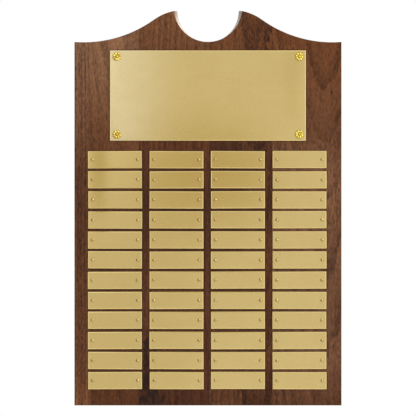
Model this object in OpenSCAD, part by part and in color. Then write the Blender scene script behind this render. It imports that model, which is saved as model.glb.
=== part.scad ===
// Wall plaque: an edge-glued walnut board with an ogee crest, a header plate held by
// four rosettes, and a grid of small name plates, each held by two escutcheon pins.
// Millimetres. +Z is up, +X is to the right seen from the front, and the front faces -Y.
// The origin is on the back face (the wall's plane), midway between the two wall screws
// that the plaque hangs on. The board is drawn from its bottom edge up, then lowered.

/* [Board] */
// Width of the board
board_width = 343; // [341:1:360]
// Thickness of the board
board_thickness = 19; // [17:0.5:25]
// Height of the low point of each shoulder above the bottom edge
shoulder_height = 466.5; // [464:0.5:480]
// Radius of the concave curve of each shoulder
cove_radius = 155.6; // [150:0.2:160]
// Distance of each shoulder's low point from the centre line
cove_offset = 160; // [156:0.5:162]
// Radius of the convex curve of each crown
crown_radius = 64.7; // [62:0.1:68]
// Distance of each crown's centre from the centre line
crown_offset = 31.4; // [28:0.1:36]

/* [Crest notch] */
// Height of the notch's floor above the bottom edge
notch_floor = 467; // [464:0.5:474]
// Upright radius of the notch at the front face
notch_radius = 46.4; // [42:0.2:50]
// Half the angle at which the notch opens towards the front, in degrees
notch_flare = 15; // [2:1:20]

/* [Staves] */
// Width of the first stave from the left
stave_1_width = 20; // [16:1:22]
// Width of the second stave
stave_2_width = 63; // [61:1:65]
// Width of the third stave
stave_3_width = 90; // [88:1:92]
// Width of the fourth stave
stave_4_width = 42; // [40:1:44]
// Width of the fifth stave
stave_5_width = 39; // [37:1:41]

/* [Header plate] */
// Width of the header plate
header_width = 251.5; // [240:0.5:260]
// Height of the header plate
header_height = 116; // [100:1:120]
// Height of the header plate's centre above the bottom edge
header_centre = 398; // [396:0.5:402]

/* [Name plates] */
// Number of columns
columns = 4; // [1:1:4]
// Number of rows
rows = 12; // [1:1:12]
// Width of a name plate
plate_width = 69.2; // [60:0.2:72]
// Height of a name plate
plate_height = 22.2; // [18:0.2:23]
// Distance between the centres of neighbouring columns
column_pitch = 79; // [76:0.5:80]
// Distance between the centres of neighbouring rows
row_pitch = 25.8; // [24.5:0.1:26]
// Height of the top row's centre above the bottom edge
top_row_centre = 315.7; // [312:0.1:318]
// Sideways shift of the whole grid from the centre line
grid_shift = -0.9; // [-3:0.1:3]
// Thickness of the header plate and the name plates
plate_thickness = 0.8; // [0.5:0.1:1.2]
// Width of the bevel round a plate's front edge
bevel_width = 1.2; // [0.5:0.1:1.5]
// Depth of that bevel
bevel_depth = 0.3; // [0.1:0.05:0.4]

/* [Hand placing] */
// Largest error in the place of a hand-set name plate
placing_error = 0.3; // [0:0.05:0.5]
// Largest tilt of a hand-set name plate, in degrees
tilt_error = 0.3; // [0:0.05:0.5]
// Seed that picks the errors
placing_seed = 7; // [1:1:100]

/* [Pins] */
// Diameter of a pin's round head
pin_head_d = 4; // [3:0.1:4.5]
// Height of a pin's head
pin_head_h = 1.1; // [0.8:0.1:1.5]
// Diameter of a pin's shank
pin_shank_d = 1.2; // [1:0.1:1.6]
// Length of a pin under its head
pin_length = 9.5; // [7:0.5:12]
// Distance of a pin from the end of its plate
pin_inset = 5.6; // [4:0.1:7]

/* [Rosettes] */
// Diameter of a rosette
rosette_d = 11; // [10:0.5:13]
// Number of petals
petals = 8; // [6:1:10]
// Height of a petal's crest above the plate
petal_height = 1.3; // [0.8:0.1:1.6]
// Distance of a rosette's centre from the header plate's end
rosette_inset_x = 8.5; // [8:0.1:12]
// Distance of a rosette's centre from the header plate's long edge
rosette_inset_z = 8; // [8:0.1:12]
// Diameter of the round head of a rosette's nail
nail_head_d = 3.6; // [3:0.1:4]
// Diameter of that nail's shank
nail_shank_d = 1.6; // [1.2:0.1:1.8]
// Length of that nail under its head
nail_length = 12; // [9:0.5:14]

/* [Hangers] */
// Distance between the two wall screws that the plaque hangs on
hanger_spacing = 240; // [236:1:244]
// Height of the two wall screws above the bottom edge
hang_height = 405; // [395:1:415]
// Diameter of the keyhole's round entry
entry_d = 9.5; // [9:0.1:10]
// Width of the keyhole's slot
slot_width = 4.8; // [4:0.1:5.2]
// Drop from the slot's top end to the centre of the entry
keyhole_drop = 9.5; // [8:0.5:10]
// Length of a hanger plate
hanger_length = 41; // [40:1:44]
// Width of a hanger plate
hanger_width = 16; // [15:0.5:18]
// Thickness of a hanger plate
hanger_thickness = 1.6; // [1.2:0.1:2]
// Depth of the pocket behind a keyhole, under the hanger plate
pocket_depth = 8; // [6:0.5:9]
// Diameter of a hanger screw's flat head
screw_head_d = 6; // [5:0.1:6.4]
// Diameter of a hanger screw's shank
screw_shank_d = 3; // [2.5:0.1:3.2]
// Length of a hanger screw
screw_length = 12; // [10:0.5:13]

/* [Hidden] */
$fn = 96;
// Sideways overlap that keeps cutters clear of the faces they pass through
spare = 1;
// Play left round a plate's pin hole, on the radius
hole_play = 0.1;
// Play left round a hanger plate in its recess
recess_play = 0.25;
// Length of the point of a pin, nail or screw
point_length = 2;
// Radius at the blunt end of such a point
point_r = 0.15;

// Board outline: the crown's arc and the cove's arc touch where the line between
// their centres crosses them, which sets the height of the crown's centre.
half_width = board_width / 2;
cove_centre_z = shoulder_height + cove_radius;
centres_apart = cove_radius + crown_radius;
centres_across = cove_offset - crown_offset;
crown_centre_z = cove_centre_z - sqrt(centres_apart ^ 2 - centres_across ^ 2);
tangent_z = crown_centre_z + crown_radius * (cove_centre_z - crown_centre_z) / centres_apart;
crown_top = crown_centre_z + crown_radius;

// Staves, from left to right: the last one takes the width that is left.
given_widths = [stave_1_width, stave_2_width, stave_3_width, stave_4_width, stave_5_width];
stave_count = len(given_widths) + 1;
function sum(list, n) = n == 0 ? 0 : list[n - 1] + sum(list, n - 1);
function stave_left(i) = -half_width + sum(given_widths, i);
function stave_right(i) = i == stave_count - 1 ? half_width : stave_left(i + 1);
stave_colours = ["#70482f", "#74492f", "#5c3a27", "#6a422c", "#5f3b28", "#6b432c"];

// Name plates: each has its own small error of place and tilt.
errors = rands(-1, 1, 3 * rows * columns, placing_seed);
function error(r, c, k) = errors[3 * ((r - 1) * columns + c - 1) + k];
function plate_x(r, c) =
    grid_shift + (c - (columns + 1) / 2) * column_pitch + placing_error * error(r, c, 0);
function plate_z(r, c) = top_row_centre - (r - 1) * row_pitch + placing_error * error(r, c, 1);
function plate_tilt(r, c) = tilt_error * error(r, c, 2);
function plate_node(r, c) = str("name_plate_r", r < 10 ? "0" : "", r, "_c", c);
pin_reach = plate_width / 2 - pin_inset;
name_plate_nodes = [for (r = [1:rows], c = [1:columns]) plate_node(r, c)];

// Rosettes: four, one near each corner of the header plate.
rosette_x = header_width / 2 - rosette_inset_x;
rosette_z = header_height / 2 - rosette_inset_z;
petal_r = rosette_d / 5.5;
petal_ring_r = rosette_d / 2 - petal_r;
petal_ball_r = (petal_r ^ 2 + petal_height ^ 2) / (2 * petal_height);
web_height = 0.6;
dimple_r = nail_head_d / 2 + 0.4;
dimple_floor = 0.35;
nail_head_h = 1.2;

screw_reach = hanger_length / 2 - hanger_width / 2 + 2.5;
head_taper = (screw_head_d - screw_shank_d) / 2;

// Lowers what is drawn from the board's bottom edge to the origin at the hanging line.
module from_bottom_edge() {
    translate([0, 0, -hang_height]) children();
}

// Draws its children on the board's front face: local +Z comes out of the front.
module on_front(x, z, lift = 0) {
    translate([x, -board_thickness - lift, z]) rotate([90, 0, 0]) children();
}

// Draws its children on the board's back face: local +Z comes out of the back.
module on_back(x, z) {
    translate([x, 0, z]) rotate([90, 0, 180]) children();
}

// Draws its children at a name plate's place and tilt.
module at_name_plate(r, c, lift = 0) {
    on_front(plate_x(r, c), plate_z(r, c), lift) rotate([0, 0, plate_tilt(r, c)]) children();
}

// Draws its children at both pins of a name plate.
module at_pins() {
    for (side = [-1, 1])
        translate([side * pin_reach, 0, 0]) children();
}

// Draws its children at the four rosettes.
module at_rosettes(lift = 0) {
    for (side = [-1, 1], level = [-1, 1])
        on_front(side * rosette_x, header_centre + level * rosette_z, lift) children();
}

// Draws its children at the slot's top end of both hangers.
module at_hangers() {
    for (side = [-1, 1])
        on_back(side * hanger_spacing / 2, hang_height) children();
}

// Draws its children at both screws of a hanger.
module at_hanger_screws() {
    for (level = [-1, 1])
        translate([0, level * screw_reach - keyhole_drop / 2, 0]) children();
}

// A bar with round ends between two points on the local Y axis.
module round_bar(width, low, high, depth) {
    translate([-width / 2, low, 0]) cube([width, high - low, depth]);
    for (y = [low, high])
        translate([0, y, 0]) cylinder(d = width, h = depth);
}

// A round shank that runs down from the local origin to a point.
module shank(d, length) {
    translate([0, 0, -length + point_length]) cylinder(d = d, h = length - point_length);
    translate([0, 0, -length]) cylinder(r1 = point_r, r2 = d / 2, h = point_length);
}

// The cone of a hanger screw's flat head, its top level with the local origin.
module countersink() {
    translate([0, 0, -head_taper])
        cylinder(d1 = screw_shank_d, d2 = screw_head_d, h = head_taper);
}

// A round head: the top of a ball, flat underneath, with its base at the local origin.
module round_head(d, h) {
    ball_r = ((d / 2) ^ 2 + h ^ 2) / (2 * h);
    intersection() {
        translate([0, 0, h - ball_r]) sphere(r = ball_r);
        cylinder(d = d, h = h);
    }
}

// Half of the board's outline, without the notch.
module half_outline() {
    square([crown_offset, crown_top]);
    translate([crown_offset, crown_centre_z]) circle(r = crown_radius, $fn = 360);
    difference() {
        square([half_width, tangent_z]);
        translate([cove_offset, cove_centre_z]) circle(r = cove_radius, $fn = 720);
    }
}

module outline() {
    half_outline();
    mirror([1, 0]) half_outline();
}

// Cuts the notch: a cone whose tip lies behind the board, level with the notch's floor.
module notch_cutter() {
    to_tip = 2 * notch_radius / tan(2 * notch_flare);
    cone_length = to_tip * cos(notch_flare) / cos(2 * notch_flare) + spare;
    translate([0, to_tip - board_thickness, notch_floor])
        rotate([90 - notch_flare, 0, 0])
        cylinder(r1 = 0, r2 = cone_length * tan(notch_flare), h = cone_length, $fn = 360);
}

// The recess for a hanger plate, the deeper pocket behind its keyhole and its screw holes.
module hanger_recess() {
    half = (hanger_length - hanger_width) / 2;
    middle = -keyhole_drop / 2;
    translate([0, 0, -hanger_thickness])
        round_bar(hanger_width + 2 * recess_play, middle - half, middle + half,
                  hanger_thickness + spare);
    translate([0, 0, -hanger_thickness - pocket_depth])
        round_bar(entry_d + 2, -keyhole_drop, 0, pocket_depth + spare);
    at_hanger_screws() shank(screw_shank_d, screw_length);
}

// The holes that the pins and nails make between two places across the board.
module nail_holes(left, right) {
    for (r = [1:rows], c = [1:columns], side = [-1, 1])
        if (plate_x(r, c) + side * pin_reach > left && plate_x(r, c) + side * pin_reach < right)
            at_name_plate(r, c, plate_thickness)
                translate([side * pin_reach, 0, 0])
                shank(pin_shank_d, pin_length);
    at_rosettes(plate_thickness + dimple_floor) shank(nail_shank_d, nail_length);
}

// One stave, cut from the board's outline, with its share of the notch and holes.
module stave(i) {
    left = stave_left(i);
    right = stave_right(i);
    color(stave_colours[i])
        difference() {
            rotate([90, 0, 0])
                linear_extrude(height = board_thickness)
                intersection() {
                    outline();
                    translate([left, 0]) square([right - left, crown_top]);
                }
            notch_cutter();
            nail_holes(left, right);
            at_hangers() hanger_recess();
        }
}

// A flat plate with a bevel round its front, centred on the local origin.
module bevelled_plate(width, height) {
    slope = atan(bevel_depth / bevel_width);
    difference() {
        translate([-width / 2, -height / 2, 0]) cube([width, height, plate_thickness]);
        for (turn = [0:90:270]) {
            across = turn % 180 == 0 ? width : height;
            along = turn % 180 == 0 ? height : width;
            rotate([0, 0, turn])
                translate([across / 2, -along / 2 - spare, plate_thickness - bevel_depth])
                rotate([0, slope, 0])
                translate([-2 * bevel_width, 0, 0])
                cube([4 * bevel_width, along + 2 * spare, 2 * plate_thickness]);
        }
    }
}

module header_plate() {
    color("#cbb479")
        difference() {
            on_front(0, header_centre) bevelled_plate(header_width, header_height);
            at_rosettes(-spare)
                cylinder(d = nail_shank_d + 2 * hole_play, h = plate_thickness + 2 * spare);
        }
}

module name_plate(r, c) {
    color("#c3aa68")
        at_name_plate(r, c)
        difference() {
            bevelled_plate(plate_width, plate_height);
            at_pins()
                translate([0, 0, -spare])
                cylinder(d = pin_shank_d + 2 * hole_play, h = plate_thickness + 2 * spare);
        }
}

module escutcheon_pins() {
    color("#b8975a")
        for (r = [1:rows], c = [1:columns])
            at_name_plate(r, c, plate_thickness)
            at_pins() {
                round_head(pin_head_d, pin_head_h);
                shank(pin_shank_d, pin_length);
            }
}

// A stamped flower: a ring of petals round a dimple that takes the nail's head.
module rosette() {
    difference() {
        union() {
            cylinder(r = petal_ring_r, h = web_height);
            intersection() {
                for (turn = [0:360 / petals:359])
                    rotate([0, 0, turn])
                    translate([petal_ring_r, 0, petal_height - petal_ball_r])
                    sphere(r = petal_ball_r);
                cylinder(d = rosette_d + spare, h = petal_height);
            }
        }
        translate([0, 0, dimple_floor]) cylinder(r = dimple_r, h = petal_height);
        translate([0, 0, -spare]) cylinder(d = nail_shank_d + 2 * hole_play, h = petal_height);
    }
}

module rosettes() {
    color("#d6b93f") at_rosettes(plate_thickness) rosette();
}

module rosette_nails() {
    color("#cda83e")
        at_rosettes(plate_thickness + dimple_floor) {
            round_head(nail_head_d, nail_head_h);
            shank(nail_shank_d, nail_length);
        }
}

// One hanger plate, let in flush with the back, with a keyhole and two countersunk holes.
module keyhole_hanger() {
    half = (hanger_length - hanger_width) / 2;
    middle = -keyhole_drop / 2;
    difference() {
        translate([0, 0, -hanger_thickness])
            round_bar(hanger_width, middle - half, middle + half, hanger_thickness);
        translate([0, -keyhole_drop, -hanger_thickness - spare])
            cylinder(d = entry_d, h = hanger_thickness + 2 * spare);
        translate([0, 0, -hanger_thickness - spare])
            round_bar(slot_width, -keyhole_drop, 0, hanger_thickness + 2 * spare);
        at_hanger_screws() {
            countersink();
            shank(screw_shank_d, screw_length);
        }
    }
}

module keyhole_hangers() {
    color("#b5b7ba") at_hangers() keyhole_hanger();
}

module hanger_screws() {
    color("#9a9da1")
        at_hangers()
        at_hanger_screws() {
            countersink();
            shank(screw_shank_d, screw_length);
        }
}

from_bottom_edge() {
    for (i = [0:stave_count - 1])
        stave(i);
    header_plate();
    rosettes();
    rosette_nails();
    for (r = [1:rows], c = [1:columns])
        name_plate(r, c);
    escutcheon_pins();
    keyhole_hangers();
    hanger_screws();
}
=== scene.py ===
"""Looks for the walnut perpetual plaque: walnut grain, satin brass plates, rosettes, pins and hangers.

Everything is in metres in the CAD frame: +Z up the plaque, the plates face -Y, the wall is at y = 0.
"""
import math
import random

import bmesh
import bpy
import numpy as np
from mathutils import Matrix, Vector


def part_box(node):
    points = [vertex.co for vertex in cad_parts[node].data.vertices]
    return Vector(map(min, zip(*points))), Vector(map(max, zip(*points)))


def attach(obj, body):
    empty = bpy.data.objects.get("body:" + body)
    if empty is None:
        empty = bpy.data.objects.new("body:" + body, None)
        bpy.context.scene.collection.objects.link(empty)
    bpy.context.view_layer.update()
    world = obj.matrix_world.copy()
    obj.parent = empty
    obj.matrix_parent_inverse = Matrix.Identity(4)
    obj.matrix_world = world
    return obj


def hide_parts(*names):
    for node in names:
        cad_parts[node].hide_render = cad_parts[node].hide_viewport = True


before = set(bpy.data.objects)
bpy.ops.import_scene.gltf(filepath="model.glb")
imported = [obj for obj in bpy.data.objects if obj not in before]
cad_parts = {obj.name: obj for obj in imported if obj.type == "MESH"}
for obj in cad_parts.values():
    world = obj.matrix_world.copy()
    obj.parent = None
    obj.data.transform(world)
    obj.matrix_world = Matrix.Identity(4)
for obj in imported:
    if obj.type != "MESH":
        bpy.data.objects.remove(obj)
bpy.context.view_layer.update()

MM = 0.001
SAME_PLACE = 0.001 * MM     # points nearer than this are one point
CLOSE_BY = 0.01 * MM        # and nearer than this, on one line or face
FAR = 1.0                   # well outside the plaque
SQUARE_ON = 0.999           # a normal's share along an axis that it runs along

BODY = "root"
STAVES = [f"stave_{i}" for i in range(1, 7)]
NAME_PLATES = sorted(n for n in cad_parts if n.startswith("name_plate_"))

board_low = Vector(map(min, *[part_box(s)[0] for s in STAVES]))
board_high = Vector(map(max, *[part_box(s)[1] for s in STAVES]))
header_low, header_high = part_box("header_plate")
FRONT_Y = board_low.y
PLATE_FRONT_Y = header_low.y


# ---------------------------------------------------------------- node graphs

class Graph:
    """The node tree of a material or a world, built one call at a time. Most calls return an output."""

    def __init__(self, owner):
        owner.use_nodes = True
        self.owner = owner
        self.tree = owner.node_tree

    def node(self, kind, settings=None, **inputs):
        n = self.tree.nodes.new(kind)
        for key, value in (settings or {}).items():
            setattr(n, key, value)
        for key, value in inputs.items():
            self.put(n.inputs[key.replace("_", " ")], value)
        return n

    def put(self, socket, value):
        if isinstance(value, bpy.types.NodeSocket):
            self.tree.links.new(value, socket)
        else:
            socket.default_value = value

    def math(self, operation, *values):
        n = self.node("ShaderNodeMath", {"operation": operation})
        for socket, value in zip(n.inputs, values):
            self.put(socket, value)
        return n.outputs[0]

    def add(self, a, b):
        return self.math("ADD", a, b)

    def sub(self, a, b):
        return self.math("SUBTRACT", a, b)

    def mul(self, a, b):
        return self.math("MULTIPLY", a, b)

    def length(self, a, b):
        """The long side of a right triangle whose short sides are a and b."""
        return self.math("SQRT", self.add(self.mul(a, a), self.mul(b, b)))

    def swing(self, noise, size):
        """A noise of 0..1, turned into a number that swings by size about nought."""
        return self.mul(self.sub(noise, 0.5), size)

    def place(self):
        """The point's place in the CAD frame, in metres."""
        return self.node("ShaderNodeTexCoord").outputs["Object"]

    def normal(self):
        return self.node("ShaderNodeNewGeometry").outputs["Normal"]

    def split(self, vector):
        return self.node("ShaderNodeSeparateXYZ", Vector=vector).outputs

    def join(self, x, y, z):
        return self.node("ShaderNodeCombineXYZ", X=x, Y=y, Z=z).outputs[0]

    def stretched(self, vector, scale, shift=(0, 0, 0)):
        return self.node("ShaderNodeMapping", Vector=vector, Scale=scale, Location=shift).outputs[0]

    def noise(self, vector, scale=1.0, detail=2.0, roughness=0.5):
        return self.node("ShaderNodeTexNoise", Vector=vector, Scale=scale, Detail=detail,
                         Roughness=roughness).outputs["Fac"]

    def line_noise(self, value, detail, roughness):
        """Noise that changes only with one number."""
        return self.node("ShaderNodeTexNoise", {"noise_dimensions": "1D"}, W=value, Scale=1.0,
                         Detail=detail, Roughness=roughness).outputs["Fac"]

    def openness(self, samples, reach):
        """1 in the open, and less where something stands within reach."""
        return self.node("ShaderNodeAmbientOcclusion", {"samples": samples}, Distance=reach).outputs["AO"]

    def ramp(self, value, stops):
        """Colours between (place, colour) stops, with straight blends."""
        n = self.node("ShaderNodeValToRGB", Fac=value)
        elements = n.color_ramp.elements
        elements[0].position, elements[0].color = stops[0][0], linear(stops[0][1])
        elements[1].position, elements[1].color = stops[-1][0], linear(stops[-1][1])
        for place, colour in stops[1:-1]:
            elements.new(place).color = linear(colour)
        return n.outputs["Color"]

    def between(self, value, low, high, to_low=0.0, to_high=1.0, smooth=True):
        """value, taken from low..high to to_low..to_high and held at the ends."""
        n = self.node("ShaderNodeMapRange", {"clamp": True}, Value=value)
        n.interpolation_type = "SMOOTHSTEP" if smooth else "LINEAR"
        ends = {"From Min": low, "From Max": high, "To Min": to_low, "To Max": to_high}
        for key, number in ends.items():
            self.put(n.inputs[key], number)
        return n.outputs[0]

    def mix(self, share, a, b, blend="MIX"):
        n = self.node("ShaderNodeMix", {"data_type": "RGBA", "blend_type": blend})
        self.put(n.inputs[0], share)
        self.put(n.inputs[6], a)
        self.put(n.inputs[7], b)
        return n.outputs[2]

    def times(self, colour, factors):
        """The colour with its red, green and blue each multiplied."""
        return self.mix(1.0, colour, factors + (1.0,), "MULTIPLY")

    def bump(self, height, distance, strength, under=None):
        n = self.node("ShaderNodeBump", Height=height, Distance=distance, Strength=strength)
        if under is not None:
            self.put(n.inputs["Normal"], under)
        return n.outputs[0]

    def finish(self, **inputs):
        """Ends the graph in a Principled shader. Plain numbers go on the shader's own sockets."""
        shader = self.node("ShaderNodeBsdfPrincipled", **inputs)
        output = self.node("ShaderNodeOutputMaterial")
        self.put(output.inputs["Surface"], shader.outputs[0])
        return self.owner


def new_graph(name):
    """The empty graph of a new material."""
    g = Graph(bpy.data.materials.new(name))
    g.tree.nodes.clear()
    return g


def linear(hex_colour):
    """A colour written as in a paint program, as linear light with alpha."""
    values = [int(hex_colour[i:i + 2], 16) / 255 for i in (0, 2, 4)]
    return tuple(v / 12.92 if v <= 0.04045 else ((v + 0.055) / 1.055) ** 2.4 for v in values) + (1.0,)


# ---------------------------------------------------------------- walnut

# how many times each noise changes in a metre: across the board, through it and up it
SLOW = (9, 9, 2.6)
SLOW_TOO = (14, 14, 4.5)
RAGGED = (330, 330, 9)
BAND = (34, 34, 1.3)
STREAK = (230, 230, 11)
FIBRE = (600, 600, 170)
PORE = (900, 900, 150)
MOTTLE = (150, 150, 90)

# red, green and blue: of a tone under the studio's light, and of its light and its dark grain
UNDER_STUDIO = (0.92, 0.82, 0.67)
LIGHT_GRAIN = (1.50, 1.52, 1.56)
DARK_GRAIN = (0.40, 0.36, 0.36)

WANDER = 0.006              # how far slow noise pushes the rings about
RAGGEDNESS = 0.38           # the rings' unevenness, as a share of their spacing
# the colour of the painted sheen on wood seen nearly edge-on
PAINTED_EDGE_SHEEN = "f0e0c0"
KNOT = "1c110c"
# painted shade in the corners where the wood meets the plates
PAINTED_CORNER_SHADE = "240d08"
END_GRAIN = "2b1a12"


def knot_field(g, x, z, knots):
    """How far the rings bulge round the knots, and how dark their cores are."""
    push = core = None
    for knot_x, knot_z, radius in knots:
        away = g.length(g.sub(x, knot_x), g.mul(g.sub(z, knot_z), 0.5))
        reach = g.math("POWER", g.mul(away, 1 / (4.0 * radius)), 2.0)
        bulge = g.mul(g.math("EXPONENT", g.mul(reach, -1.0)), 2.4 * radius)
        dark = g.between(away, 0.25 * radius, 1.1 * radius, 1.0, 0.0)
        push = bulge if push is None else g.add(push, bulge)
        core = dark if core is None else g.math("MAXIMUM", core, dark)
    return push, core


def growth(g, place, shift, pith, spacing, taper, knots):
    """The place measured from the wandering pith, the distance out through the rings, and knot cores."""
    x, y, z = g.split(place)
    slow = g.noise(g.stretched(place, SLOW, shift))
    slow_too = g.noise(g.stretched(place, SLOW_TOO, (shift[2], shift[0], shift[1])))
    off_x = g.add(g.sub(x, pith[0]), g.swing(slow, WANDER * 2))
    off_y = g.add(g.sub(y, pith[1]), g.swing(slow_too, WANDER * 2))
    out = g.sub(g.length(off_x, off_y), g.mul(z, taper))
    bulge, core = knot_field(g, x, z, knots)
    if bulge is not None:
        out = g.add(out, bulge)
    ragged = g.noise(g.stretched(place, RAGGED, shift), detail=3.0, roughness=0.6)
    return g.join(off_x, off_y, z), g.add(out, g.swing(ragged, RAGGEDNESS * spacing)), core


def grain(g, drift, rings, shift, seed, figure, pepper):
    """How dark the grain is, with its fibres and its open pores, which follow the rings' drift."""
    season = g.line_noise(g.add(rings, seed * 10), 3.0, 0.6)
    phase = g.math("FRACT", rings)
    late = g.mul(g.between(phase, 0.3, 0.88), g.between(phase, 0.92, 1.0, 1.0, 0.0))
    band = g.noise(g.stretched(drift, BAND, shift))
    streak = g.noise(g.stretched(drift, STREAK, shift), detail=3.0, roughness=0.6)
    fibre = g.noise(g.stretched(drift, FIBRE, shift), detail=3.0, roughness=0.75)
    pore = g.noise(g.stretched(drift, PORE, shift), roughness=0.6)
    pore = g.mul(g.between(pore, 0.56, 0.68), g.between(phase, 0.0, 0.8, 1.0, 0.5))

    tone = g.swing(season, 0.55 * figure)
    for part in (g.mul(late, 0.22 * figure), g.swing(band, 0.5), g.swing(streak, 0.45),
                 g.swing(fibre, 2.1 * pepper), g.mul(pore, 0.45 * pepper)):
        tone = g.add(tone, part)
    return tone, fibre, pore


def heartwood(g, colour, place, shift, fibre, heart):
    """The colour with a mottled, near-black streak that rises from the board's foot."""
    middle, width, top = heart
    x, _, z = g.split(place)
    height = g.sub(z, board_low.z)
    half = g.mul(g.between(height, 0.0, top, 1.0, 0.1), width / 2)
    mottle = g.noise(g.stretched(place, MOTTLE, shift), detail=3.0, roughness=0.65)
    edge = g.add(g.math("ABSOLUTE", g.sub(x, middle)), g.swing(mottle, 0.030))
    black = g.between(g.sub(half, edge), -0.004, 0.003)
    black = g.mul(black, g.between(height, 0.6 * top, 1.3 * top, 1.0, 0.0))
    black = g.mul(black, g.between(mottle, 0.42, 0.64, 0.94, 0.30))
    return g.mix(black, colour, g.mix(fibre, linear("0e0705"), linear("2e1c14")))


def corner_shade_and_end_grain(g, colour):
    """The colour, with painted shade in the corners against the plates and darker on end grain, and how
    far each point is end grain.
    """
    # painted shade: the wood is darker in the corner against each plate, where the plate shades it
    corner = g.openness(6, 3.4 * MM)
    colour = g.mix(g.between(corner, 0.78, 1.0, 0.90, 0.0, smooth=False), colour, linear(PAINTED_CORNER_SHADE))

    # end grain is darker and drinks more of the oil
    end = g.between(g.math("ABSOLUTE", g.split(g.normal())[2]), 0.45, 0.9)
    return g.mix(g.mul(end, 0.45), colour, linear(END_GRAIN)), end


def walnut(name, tones, pith, spacing, taper=0.0, seed=0.0, figure=1.0, pepper=1.0, knots=(),
           heart=None, edge_sheen=PAINTED_EDGE_SHEEN):
    """Lacquered walnut from a log whose pith runs up past (pith x, pith y), with rings spacing apart.

    tones are (height above the bottom edge in mm, colour) up the board: the wood's own tone, with painted
    light and shade in it. taper makes the rings cones, which draws arches on a flat-sawn face. figure is
    the rings' strength and pepper the fibres'.
    knots are (x, z, radius). heart is a near-black heartwood streak: (x of its middle, width, height).
    edge_sheen is the colour of the painted sheen where the wood is seen nearly edge-on.
    """
    g = new_graph(name)
    place = g.place()
    _, y, z = g.split(place)
    shift = (seed * 3.1, seed * 1.7, seed * 5.3)
    drift, out, core = growth(g, place, shift, pith, spacing, taper, knots)
    tone, fibre, pore = grain(g, drift, g.mul(out, 1 / spacing), shift, seed, figure, pepper)

    tall = board_high.z - board_low.z
    share = g.mul(g.sub(z, board_low.z), 1 / tall)
    base = g.ramp(share, [(height * MM / tall, colour) for height, colour in tones])
    base = g.times(base, UNDER_STUDIO)
    darkness = g.between(tone, -0.34, 0.50, smooth=False)
    colour = g.mix(darkness, g.times(base, LIGHT_GRAIN), g.times(base, DARK_GRAIN))
    if heart:
        colour = heartwood(g, colour, place, shift, fibre, heart)
    if core is not None:
        colour = g.mix(g.mul(core, 0.9), colour, linear(KNOT))
    colour, end = corner_shade_and_end_grain(g, colour)

    # painted sheen: the wood is painted pale where it is seen nearly edge-on, with little of it by the
    # back
    glance = g.node("ShaderNodeLayerWeight", Blend=0.5).outputs["Facing"]
    sheen_by_depth = g.between(y, -5.0 * MM, -2.5 * MM, 1.0, 0.25)
    pale = g.mul(g.between(glance, 0.72, 0.90, 0.0, 0.66), sheen_by_depth)
    colour = g.mix(pale, colour, linear(edge_sheen))
    roughness = g.add(g.between(fibre, 0.3, 0.7, 0.36, 0.46), g.add(g.mul(pore, 0.15), g.mul(end, 0.12)))
    relief = g.bump(g.sub(g.mul(fibre, 0.35), pore), 0.05 * MM, 0.4)
    return g.finish(Base_Color=colour, Roughness=roughness, Normal=relief, Specular_IOR_Level=0.12)


def wood_materials():
    """One walnut for each stave, from the left, so that neighbours never match at a joint."""
    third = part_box("stave_3")
    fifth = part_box("stave_5")
    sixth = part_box("stave_6")
    crest_knot = (fifth[1].x - 0.005, board_high.z - 0.037, 0.0030)
    upper_knot = (sixth[1].x - 0.0125, board_high.z - 0.105, 0.0012)
    lower_knot = (sixth[1].x - 0.0105, board_low.z + 0.0767, 0.0012)
    # the tones up each stave are the wood's own tone with painted light and shade in them: lighter
    # towards the top of the left-hand staves, where the light falls, and darker where the plates shade
    # the narrow gaps between them
    return {
        "stave_1": walnut(
            "walnut_1",
            [(0, "734c31"), (60, "613e29"), (200, "573723"), (300, "573723"), (400, "71503c"),
             (480, "785a44")],
            (-0.30, 0.06), 0.0036, seed=1.0),
        "stave_2": walnut(
            "walnut_2",
            [(0, "59361f"), (200, "4f301d"), (320, "603c26"), (360, "69452e"), (420, "7a5942"),
             (480, "7f5d46")],
            (-0.10, 0.09), 0.0044, taper=0.03, seed=2.0, figure=0.8, pepper=0.75),
        "stave_3": walnut(
            "walnut_3",
            [(0, "4b2b18"), (125, "563420"), (260, "452a19"), (330, "56331d"), (450, "67432c"),
             (505, "714c32")],
            (0.06, 0.11), 0.0050, seed=3.0, pepper=0.8, heart=(third[0].x + 0.0115, 0.034, 0.110)),
        "stave_4": walnut(
            "walnut_4",
            [(0, "5c3a25"), (150, "4e301e"), (330, "452919"), (450, "664026"), (505, "694228")],
            # a darker, khaki painted edge sheen on this stave
            (0.17, 0.09), 0.0046, seed=4.0, edge_sheen="957c48"),
        "stave_5": walnut(
            "walnut_5",
            [(0, "4a2c19"), (60, "593825"), (125, "533320"), (175, "5d3923"), (225, "533320"),
             (275, "55341f"), (315, "462a1a"), (340, "50301c"), (450, "5c3822"), (505, "5b3922")],
            (fifth[0].x + 0.02, 0.05), 0.0046, taper=0.05, seed=5.0, figure=1.2, knots=[crest_knot]),
        "stave_6": walnut(
            "walnut_6",
            [(0, "5b3a26"), (60, "714f3c"), (130, "5e412f"), (175, "674835"), (225, "76543f"),
             (275, "785640"), (315, "704e39"), (345, "62412c"), (480, "653e23")],
            (sixth[1].x - 0.018, 0.07), 0.0050, taper=0.06, seed=6.0, figure=1.2, pepper=0.8,
            knots=[upper_knot, lower_knot]),
    }


# ---------------------------------------------------------------- metals

# how many times each noise changes in a metre: across the plaque, out of it and up it
LONG_BRUSH = (14, 400, 2300)
SHORT_BRUSH = (70, 400, 4300)
ROLLING_WAVE = (13, 13, 9)
CLOUD = (30, 30, 45)
SCRATCH = (300, 300, 6000)
# painted reflection: where the header's painted paler end runs out
PAINTED_REFLECTION_END_X = -0.015         # where the header's paler tone has run out


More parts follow.
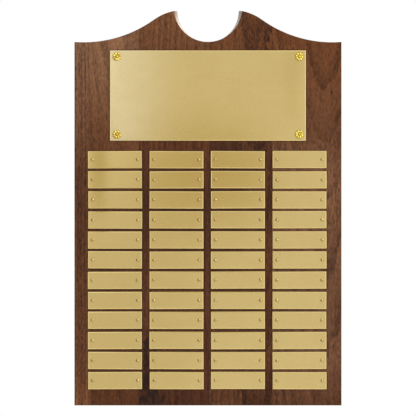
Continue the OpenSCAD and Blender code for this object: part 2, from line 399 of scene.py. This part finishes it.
def satin_brass(name, colour, roughness, seed, pale=None):
    """Sheet brass brushed along its length, with slow waves from rolling and nailing.

    pale is a painted reflection: a paler tone towards the header's left end, where a light is mirrored.
    """
    g = new_graph(name)
    place = g.place()
    shift = (seed, seed * 2, seed * 3)
    long_brush = g.noise(g.stretched(place, LONG_BRUSH, shift), detail=3.0, roughness=0.6)
    short_brush = g.noise(g.stretched(place, SHORT_BRUSH, shift), roughness=0.6)
    brush = g.mul(g.add(long_brush, short_brush), 0.5)
    wave = g.noise(g.stretched(place, ROLLING_WAVE, shift), detail=1.0)
    cloud = g.noise(g.stretched(place, CLOUD, shift))
    tint = linear(colour)
    # painted reflection: the header is painted paler towards its left end
    if pale:
        tint = g.mix(g.between(g.split(place)[0], header_low.x, PAINTED_REFLECTION_END_X), linear(pale), tint)
    tint = g.mix(g.between(cloud, 0.3, 0.7, 0.0, 0.07), tint, linear("b08f4c"))
    tint = g.mix(g.between(brush, 0.35, 0.65, 0.0, 0.015), tint, linear("8f7436"))
    # painted shade: the plate is darker where it lies close under a pin or a rosette
    corner = g.openness(6, 2.0 * MM)
    tint = g.mix(g.between(corner, 0.5, 0.97, 0.8, 0.0), tint, linear("5a3a14"))
    rough = g.add(g.between(brush, 0.3, 0.7, roughness - 0.006, roughness + 0.006),
                  g.between(cloud, 0.4, 0.7, 0.0, 0.01))
    relief = g.bump(wave, 1.0 * MM, 0.2)
    relief = g.bump(brush, 0.002 * MM, 0.03, under=relief)
    return g.finish(Base_Color=tint, Metallic=1.0, Roughness=rough, Normal=relief, Anisotropic=0.6,
                    Tangent=g.join(0.0, 0.0, 1.0))


def bright_brass(name, colour, roughness, shaded_side, side_shade, hollow_shade):
    """Polished brass, with painted shade in its hollows and on the side away from the light.

    shaded_side points to that side. side_shade and hollow_shade are the shares of these two painted
    shades, up to 1.
    """
    g = new_graph(name)
    place = g.place()
    tarnish = g.noise(place, 900.0, 3.0, 0.6)
    grit = g.noise(place, 5200.0)
    aged = g.noise(place, 90.0, 1.0)
    hollow = g.openness(8, 2.0 * MM)
    tint = g.mix(g.between(aged, 0.42, 0.62, 0.0, 0.3), linear(colour), linear("9a7024"))
    tint = g.mix(g.between(tarnish, 0.5, 0.75, 0.0, 0.4), tint, linear("8a6a24"))
    # painted shade: darker in the hollows, under the nail heads and round the rims, where shade falls
    tint = g.mix(g.between(hollow, 0.35, 0.95, hollow_shade, 0.0), tint, linear("5e4214"))
    # painted shade: darker on the side that faces away from the light
    facing = g.node("ShaderNodeVectorMath", {"operation": "DOT_PRODUCT"})
    g.put(facing.inputs[0], g.normal())
    g.put(facing.inputs[1], shaded_side)
    painted_side_shade = g.between(facing.outputs["Value"], 0.12, 0.55, 0.0, side_shade)
    tint = g.mix(painted_side_shade, tint, linear("4a3216"))
    rough = g.between(tarnish, 0.3, 0.7, roughness, roughness + 0.12)
    relief = g.bump(grit, 0.01 * MM, 0.3)
    return g.finish(Base_Color=tint, Metallic=1.0, Roughness=rough, Normal=relief, Coat_Weight=0.6,
                    Coat_Roughness=0.12)


def zinc(name):
    """Zinc-plated steel: cool, faintly mottled and scratched."""
    g = new_graph(name)
    place = g.place()
    mottle = g.noise(place, 420.0, 4.0, 0.6)
    scratch = g.noise(g.stretched(place, SCRATCH))
    tint = g.mix(mottle, linear("686c70"), linear("8c8f91"))
    rough = g.add(g.between(mottle, 0.3, 0.7, 0.30, 0.46), g.between(scratch, 0.6, 0.7, 0.0, 0.1))
    relief = g.bump(scratch, 0.01 * MM, 0.4)
    return g.finish(Base_Color=tint, Metallic=1.0, Roughness=rough, Normal=relief)


# ---------------------------------------------------------------- mesh helpers


def new_piece(name, mesh, material, node):
    """A piece of the object, made from a finished mesh, that stands for a CAD node."""
    piece = bpy.data.objects.new(name, mesh)
    bpy.context.scene.collection.objects.link(piece)
    mesh.materials.clear()
    mesh.materials.append(material)
    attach(piece, BODY)
    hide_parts(node)
    return piece


def mesh_of(bm, name):
    """The finished mesh. bm can't be used after this."""
    mesh = bpy.data.meshes.new(name)
    bm.to_mesh(mesh)
    bm.free()
    return mesh


def smooth_but_sharp(bm, degrees):
    """Smooth faces, with big flat ones left flat and the edges steeper than degrees left sharp."""
    for face in bm.faces:
        face.smooth = len(face.verts) <= 4
    for edge in bm.edges:
        edge.smooth = edge.calc_face_angle(math.pi) < math.radians(degrees)


def turn_outward(bm):
    """Turns every face's normal out of its solid."""
    bmesh.ops.recalc_face_normals(bm, faces=bm.faces)


def clusters(node, groups):
    """For each box (low, high) in groups, the middle and the two corners of the node's points in it."""
    points = np.array([v.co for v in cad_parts[node].data.vertices])
    found = []
    for group_low, group_high in groups:
        inside = np.all((points > np.array(group_low)) & (points < np.array(group_high)), axis=1)
        low = points[inside].min(0)
        high = points[inside].max(0)
        found.append((Vector((low + high) / 2), Vector(low), Vector(high)))
    return found


def corner_groups(node):
    """Four boxes, one round each corner of a node that has one solid at each."""
    low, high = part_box(node)
    middle = (low + high) / 2
    boxes = []
    for x0, x1 in ((-FAR, middle.x), (middle.x, FAR)):
        for z0, z1 in ((-FAR, middle.z), (middle.z, FAR)):
            boxes.append(((x0, -FAR, z0), (x1, FAR, z1)))
    return boxes


def ring_point(centre, radius, angle, height):
    """A place on a circle round centre, height out of the front."""
    return centre + Vector((radius * math.cos(angle), -height, radius * math.sin(angle)))


def lathe(bm, profile, centre, steps):
    """Adds a turned shape to bm. profile is (radius, height out of the front) from the tip to the top."""
    rings = []
    for radius, height in profile:
        angles = [2 * math.pi * i / steps for i in range(steps if radius > 0 else 1)]
        rings.append([bm.verts.new(ring_point(centre, radius, a, height)) for a in angles])
    for below, above in zip(rings, rings[1:]):
        for i in range(steps):
            j = (i + 1) % steps
            quad = [below[i % len(below)], below[j % len(below)],
                    above[j % len(above)], above[i % len(above)]]
            corners = list(dict.fromkeys(quad))
            if len(corners) > 2:
                bm.faces.new(corners)


def dome(radius, height, steps, start=0.0):
    """Profile points of a ball's cap from its rim to its top, start above the surface."""
    ball = (radius ** 2 + height ** 2) / (2 * height)
    widest = math.asin(min(1.0, radius / ball))
    points = []
    for i in range(steps + 1):
        a = widest * (1 - i / steps)
        points.append((ball * math.sin(a), start + ball * math.cos(a) - (ball - height)))
    return points


# ---------------------------------------------------------------- pieces

ARRIS = 0.7 * MM            # how far the board's outer edges are rounded
POINT_RADIUS = 0.15 * MM    # of a pin's or a nail's tip
POINT_LENGTH = 2 * MM
PIN_SHANK = 0.6 * MM        # the radius of a pin's shank
NAIL_SHANK = 0.8 * MM       # and of a nail's
PIN_RIM = 0.15 * MM         # the thickness of a pin head's rim, and how far its underside is cut back
NAIL_SEAT = 0.35 * MM       # how far out from the header a nail's head starts, in its rosette's dish
PETALS = 8
ROSETTE_HOLE = 0.9 * MM
ROSETTE_RINGS = 26
ROSETTE_STEPS = 160
DISH = 0.42                 # the share of a rosette's radius that its dished middle takes


def is_on_outline(edge, foot, above_fittings):
    """Whether a stave's edge is on the board's front or back outline, and not in a joint or a pocket."""
    a, b = (v.co for v in edge.verts)
    to_face = min(abs(a.y - FRONT_Y), abs(a.y))
    if len(edge.link_faces) != 2 or abs(a.y - b.y) > SAME_PLACE or to_face > SAME_PLACE:
        return False
    flat = [f for f in edge.link_faces if abs(f.normal.y) > SQUARE_ON]
    side = [f for f in edge.link_faces if abs(f.normal.y) <= SQUARE_ON]
    if len(flat) != 1 or len(side) != 1:
        return False
    at_side = all(abs(abs(v.x) - board_high.x) < CLOSE_BY for v in (a, b))
    glued = abs(side[0].normal.x) > SQUARE_ON and abs(abs(a.x) - board_high.x) > CLOSE_BY
    at_foot = max(a.z, b.z) < foot + CLOSE_BY
    on_crest = min(a.z, b.z) > above_fittings
    return not glued and (at_foot or at_side or on_crest)


def eased_stave(node, material):
    """A stave with its outer arrises eased, and its glued sides left square so that the joints close."""
    bm = bmesh.new()
    bm.from_mesh(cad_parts[node].data)
    bmesh.ops.remove_doubles(bm, verts=bm.verts, dist=SAME_PLACE)
    bmesh.ops.dissolve_limit(bm, angle_limit=math.radians(0.05), verts=bm.verts, edges=bm.edges)
    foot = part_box(node)[0].z
    outline = [e for e in bm.edges if is_on_outline(e, foot, header_high.z)]
    bmesh.ops.bevel(bm, geom=outline, offset=ARRIS, offset_type="OFFSET", segments=3, profile=0.5,
                    affect="EDGES", clamp_overlap=False)
    smooth_but_sharp(bm, 32)
    name = node + "_wood"
    new_piece(name, mesh_of(bm, name), material, node)


def shank_profile(depth, shank, seat):
    """Profile points of a pin from its point, depth below the surface, to the rim under its head."""
    return [(0.0, -depth), (POINT_RADIUS, -depth), (shank, POINT_LENGTH - depth), (shank, 0.0),
            (seat, 0.0)]


def make_pins(material):
    """All the escutcheon pins, as turned pins with a thin rim under a domed head."""
    groups = []
    for plate in NAME_PLATES:
        low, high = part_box(plate)
        middle = (low.x + high.x) / 2
        for x0, x1 in ((low.x, middle), (middle, high.x)):
            groups.append(((x0, -FAR, low.z), (x1, FAR, high.z)))
    bm = bmesh.new()
    for centre, low, high in clusters("escutcheon_pins", groups):
        head = (high.x - low.x) / 2
        tall = PLATE_FRONT_Y - low.y
        profile = shank_profile(high.y - PLATE_FRONT_Y, PIN_SHANK, head - PIN_RIM)
        profile.append((head, PIN_RIM * 0.6))
        profile += dome(head * 0.985, tall - PIN_RIM, 7, PIN_RIM)
        lathe(bm, profile, Vector((centre.x, PLATE_FRONT_Y, centre.z)), 28)
    turn_outward(bm)
    smooth_but_sharp(bm, 50)
    name = "escutcheon_pin_set"
    new_piece(name, mesh_of(bm, name), material, "escutcheon_pins")


def petal_wave(angle):
    """1 along the middle of a petal, 0 in the groove between two."""
    return 0.5 + 0.5 * math.cos(PETALS * angle)


def rosette_height(share, angle, top):
    """Height of a rosette's face: petals with a rib and grooves between, round a dished middle."""
    if share < DISH:
        return top * (0.40 + 0.24 * (share / DISH) ** 3)
    groove = petal_wave(angle) ** 0.5
    rib = 0.10 * max(0.0, math.cos(PETALS * angle)) ** 12
    across = (share - DISH) / (1 - DISH)
    arch = math.sin(math.pi * min(1.0, 0.22 + 0.78 * across)) ** 0.6
    return top * (0.12 + (0.66 * arch + 0.1) * (0.32 + 0.68 * groove) + rib * arch)


def add_rosette(bm, base, radius, top, turn):
    """Adds to bm one stamped rosette with scalloped petals, a flat underside and a hole."""
    angles = [2 * math.pi * s / ROSETTE_STEPS for s in range(ROSETTE_STEPS)]

    def row(share, heights):
        verts = []
        for a, height in zip(angles, heights):
            scallop = 1 - 0.15 * (1 - petal_wave(a) ** 0.4)
            reach = radius * (1 + (scallop - 1) * share ** 2)
            r = ROSETTE_HOLE + (reach - ROSETTE_HOLE) * share
            verts.append(bm.verts.new(ring_point(base, r, a + turn, height)))
        return verts

    shares = [i / ROSETTE_RINGS for i in range(ROSETTE_RINGS + 1)]
    face = [row(share, [rosette_height(share, a, top) for a in angles]) for share in shares]
    under = [row(share, [0.0] * ROSETTE_STEPS) for share in (1.0, 0.0)]
    rows = face + under
    for near, far in zip(rows, rows[1:] + rows[:1]):
        for s in range(ROSETTE_STEPS):
            t = (s + 1) % ROSETTE_STEPS
            bm.faces.new((near[s], near[t], far[t], far[s]))


def make_rosettes(material):
    """Four stamped eight-petalled rosettes, each turned a little differently."""
    chance = random.Random(11)
    bm = bmesh.new()
    for centre, low, high in clusters("rosettes", corner_groups("rosettes")):
        base = Vector((centre.x, PLATE_FRONT_Y, centre.z))
        radius = (high.x - low.x) / 2
        turn = chance.uniform(0, 2 * math.pi)
        add_rosette(bm, base, radius, PLATE_FRONT_Y - low.y, turn)
    turn_outward(bm)
    smooth_but_sharp(bm, 60)
    name = "rosette_set"
    new_piece(name, mesh_of(bm, name), material, "rosettes")


def make_rosette_nails(material):
    """The nails through the rosettes, with domed heads that sit in the dished middles."""
    bm = bmesh.new()
    seat_y = PLATE_FRONT_Y - NAIL_SEAT
    for centre, low, high in clusters("rosette_nails", corner_groups("rosette_nails")):
        head = (high.x - low.x) / 2
        profile = shank_profile(high.y - seat_y, NAIL_SHANK, head - 0.1 * MM)
        profile += dome(head, seat_y - low.y, 9)
        lathe(bm, profile, Vector((centre.x, seat_y, centre.z)), 36)
    turn_outward(bm)
    smooth_but_sharp(bm, 50)
    name = "rosette_nail_set"
    new_piece(name, mesh_of(bm, name), material, "rosette_nails")


def cross_cutter(centre, reach, width, depth):
    """A tapered bar each way, that cuts a cross recess into a screw's head."""
    bm = bmesh.new()
    for turn in (0, math.pi / 2):
        made = bmesh.ops.create_cube(bm, size=1.0)["verts"]
        for v in made:
            deep = v.co.y < 0
            x = v.co.x * 2 * reach * (0.45 if deep else 1.0)
            z = v.co.z * width * (0.7 if deep else 1.0)
            v.co = Vector((x, -depth if deep else depth, z))
        bmesh.ops.rotate(bm, verts=made, cent=(0, 0, 0), matrix=Matrix.Rotation(turn, 3, "Y"))
    bmesh.ops.translate(bm, verts=bm.verts, vec=centre)
    cutter = bpy.data.objects.new("cross_cutter", mesh_of(bm, "cross_cutter"))
    bpy.context.scene.collection.objects.link(cutter)
    return cutter


def cut_away(piece, cutter):
    """Takes the cutter's shape out of the piece for good."""
    hole = piece.modifiers.new("cut", "BOOLEAN")
    hole.operation = "DIFFERENCE"
    hole.solver = "EXACT"
    hole.use_self = True
    hole.object = cutter
    bpy.context.view_layer.update()
    seen = bpy.context.evaluated_depsgraph_get()
    shape = bpy.data.meshes.new_from_object(piece.evaluated_get(seen))
    piece.modifiers.remove(hole)
    piece.data = shape
    bpy.data.objects.remove(cutter)


def make_hanger_screws(material):
    """The flat-head screws that hold the hangers, each with a cross recess."""
    bm = bmesh.new()
    cutters = []
    for centre, low, high in clusters("hanger_screws", corner_groups("hanger_screws")):
        head = (high.x - low.x) / 2
        shank = head / 2
        length = high.y - low.y
        top = Vector((centre.x, high.y, centre.z))
        profile = [(0.0, length), (0.2 * MM, length), (shank, length - 3 * MM), (shank, head - shank),
                   (head, 0.08 * MM), (head - 0.1 * MM, 0.0), (0.0, 0.0)]
        lathe(bm, profile, top, 40)
        cutters.append(cross_cutter(top, 0.85 * head, 0.28 * head, 1.3 * MM))
    turn_outward(bm)
    name = "hanger_screw_set"
    piece = new_piece(name, mesh_of(bm, name), material, "hanger_screws")
    for cutter in cutters:
        cut_away(piece, cutter)
    bm = bmesh.new()
    bm.from_mesh(piece.data)
    smooth_but_sharp(bm, 35)
    bm.to_mesh(piece.data)
    bm.free()


def paint(node, material):
    """Gives a CAD node its finished material."""
    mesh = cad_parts[node].data
    mesh.materials.clear()
    mesh.materials.append(material)


def break_edges(node, width):
    """Takes the sharpness off a CAD node's edges."""
    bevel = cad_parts[node].modifiers.new("edges", "BEVEL")
    bevel.width = width
    bevel.segments = 2
    bevel.limit_method = "ANGLE"
    bevel.angle_limit = math.radians(40)


# ---------------------------------------------------------------- studio

CAMERA_DISTANCE = 6.0
SEEN_WIDTH = 534.35 * MM    # what the picture spans, at the board's front
AIM_X = 0.05 * MM
AIM_HEIGHT = 253.6 * MM     # above the board's foot
FLOOR_RADIUS = 1.1
FLOOR_DROP = 0.25           # below the board's foot


def look_at(thing, target):
    """Turns a camera or a light to face target."""
    thing.rotation_euler = (Vector(target) - thing.location).to_track_quat("-Z", "Y").to_euler()


def make_camera():
    """A long lens, square on to the plaque."""
    aim = Vector((AIM_X, FRONT_Y, board_low.z + AIM_HEIGHT))
    data = bpy.data.cameras.new("camera")
    data.sensor_width = 36
    data.lens = data.sensor_width * CAMERA_DISTANCE / SEEN_WIDTH
    camera = bpy.data.objects.new("camera", data)
    camera.location = aim - Vector((0, CAMERA_DISTANCE, 0))
    bpy.context.scene.collection.objects.link(camera)
    look_at(camera, aim)
    bpy.context.scene.camera = camera


def softbox(name, location, target, width, height, radiance):
    """A soft rectangle of light that pictures don't show."""
    data = bpy.data.lights.new(name, "AREA")
    data.shape = "RECTANGLE"
    data.size = width
    data.size_y = height
    data.energy = radiance * math.pi * width * height
    light = bpy.data.objects.new(name, data)
    light.location = location
    light.visible_camera = False
    bpy.context.scene.collection.objects.link(light)
    look_at(light, target)


def make_world():
    """A white ground to look at, in a room whose light depends on the direction that it comes from."""
    world = bpy.data.worlds.new("pale_room")
    bpy.context.scene.world = world
    g = Graph(world)
    x, y, z = g.split(g.node("ShaderNodeTexCoord").outputs["Generated"])
    straight_ahead = g.between(y, -1.0, -0.82, 0.77, 1.02)
    from_behind = g.between(y, 0.1, 0.7, 1.0, 2.2)
    from_left = g.between(x, -0.95, -0.5, 0.25, 1.0)
    from_above = g.between(z, 0.5, 0.9, 1.0, 0.6)
    from_below = g.between(z, -0.7, -0.2, 1.12, 1.0)
    light = straight_ahead
    for factor in (from_behind, from_left, from_above, from_below):
        light = g.mul(light, factor)
    seen = g.node("ShaderNodeLightPath").outputs["Is Camera Ray"]
    light = g.sub(light, g.mul(light, seen))
    background = g.tree.nodes["Background"]
    background.inputs["Color"].default_value = (1, 1, 1, 1)
    g.put(background.inputs["Strength"], g.add(light, seen))


def make_card(name, centre, width, height, glow, corners=4):
    """A dim card that only polished things mirror. glow is the light that it gives."""
    radius = 0.5 if corners > 4 else math.sqrt(0.5)
    upright = Matrix.Rotation(math.pi / 2, 4, "X") @ Matrix.Rotation(math.pi / 4, 4, "Z")
    bm = bmesh.new()
    bmesh.ops.create_circle(bm, cap_ends=True, segments=corners, radius=radius)
    bmesh.ops.transform(bm, verts=bm.verts, matrix=Matrix.Diagonal((width, 1, height, 1)) @ upright)
    mesh = mesh_of(bm, name)
    card = bpy.data.objects.new(name, mesh)
    card.location = centre
    bpy.context.scene.collection.objects.link(card)
    g = new_graph(name)
    mesh.materials.append(g.finish(Base_Color=(0, 0, 0, 1), Roughness=1.0, Specular_IOR_Level=0.0,
                                   Emission_Color=glow + (1.0,), Emission_Strength=1.0))
    for way in ("camera", "diffuse", "transmission", "shadow"):
        setattr(card, "visible_" + way, False)


def make_floor():
    """A plain pale disc, well below the plaque."""
    bm = bmesh.new()
    bmesh.ops.create_circle(bm, cap_ends=True, segments=96, radius=FLOOR_RADIUS)
    mesh = mesh_of(bm, "floor")
    floor = bpy.data.objects.new("floor", mesh)
    floor.location = (0, 0, board_low.z - FLOOR_DROP)
    bpy.context.scene.collection.objects.link(floor)
    g = new_graph("pale_floor")
    speckle = g.noise(g.place(), 40.0, 3.0)
    colour = g.mix(speckle, linear("eceae6"), linear("f2f0ec"))
    mesh.materials.append(g.finish(Base_Color=colour, Roughness=0.7))


def make_studio():
    """The room, its lights, and the cards that shade what the brass mirrors."""
    header = (header_low + header_high) / 2
    make_world()
    softbox("soft_top", (0.45, -0.75, 1.10), header, 0.6, 0.4, 4.5)
    softbox("soft_right", (1.05, -0.85, 0.45), header, 0.4, 0.9, 5.5)
    softbox("card_left", (-0.30, -0.80, 0.14), (-0.30, 0, 0.14), 0.30, 0.26, 0.62)
    # what the middle plates of the upper rows, and a strip of the first column, mirror
    make_card("warm_card", (-0.004, -0.35, -0.104), 0.19, 0.10, (0.49, 0.39, 0.14), 48)
    make_card("warm_strip", (-0.1435, -0.12, -0.085), 0.018, 0.130, (0.56, 0.49, 0.33))
    # what the header mirrors along its top and near its right end
    make_card("header_card", (0.055, -0.35, 0.135), 0.22, 0.07, (0.58, 0.55, 0.47))
    make_card("end_card", (0.110, -0.14, 0.030), 0.014, 0.12, (0.66, 0.63, 0.54))
    # what the lower plates on the left mirror
    make_card("dim_card", (-0.115, -0.50, -0.300), 0.17, 0.30, (0.69, 0.67, 0.63))
    make_floor()
    bpy.context.scene.view_settings.view_transform = "Standard"


# ---------------------------------------------------------------- the plaque

make_camera()
for stave, wood in wood_materials().items():
    eased_stave(stave, wood)

# the header, with a painted paler reflection towards its left end
paint("header_plate", satin_brass("satin_brass_header", "e5cb88", 0.26, 1.0, pale="ecd8a4"))
plate_brass = satin_brass("satin_brass", "e2c885", 0.26, 4.0)
for plate in NAME_PLATES:
    paint(plate, plate_brass)
# the last three numbers: the side darkened by painted shade, then the shares of that shade and of the
# painted shade in hollows
make_rosettes(bright_brass("bright_brass", "e2c550", 0.18, (0.25, 0.0, -0.97), 0.35, 0.28))
make_rosette_nails(bright_brass("nail_brass", "cfb04c", 0.14, (0.0, 0.0, -1.0), 0.45, 0.42))
make_pins(bright_brass("pin_brass", "c9ac6a", 0.20, (-0.85, 0.0, -0.35), 0.46, 0.58))
paint("keyhole_hangers", zinc("zinc_plate"))
break_edges("keyhole_hangers", 0.2 * MM)
make_hanger_screws(zinc("screw_zinc"))
make_studio()
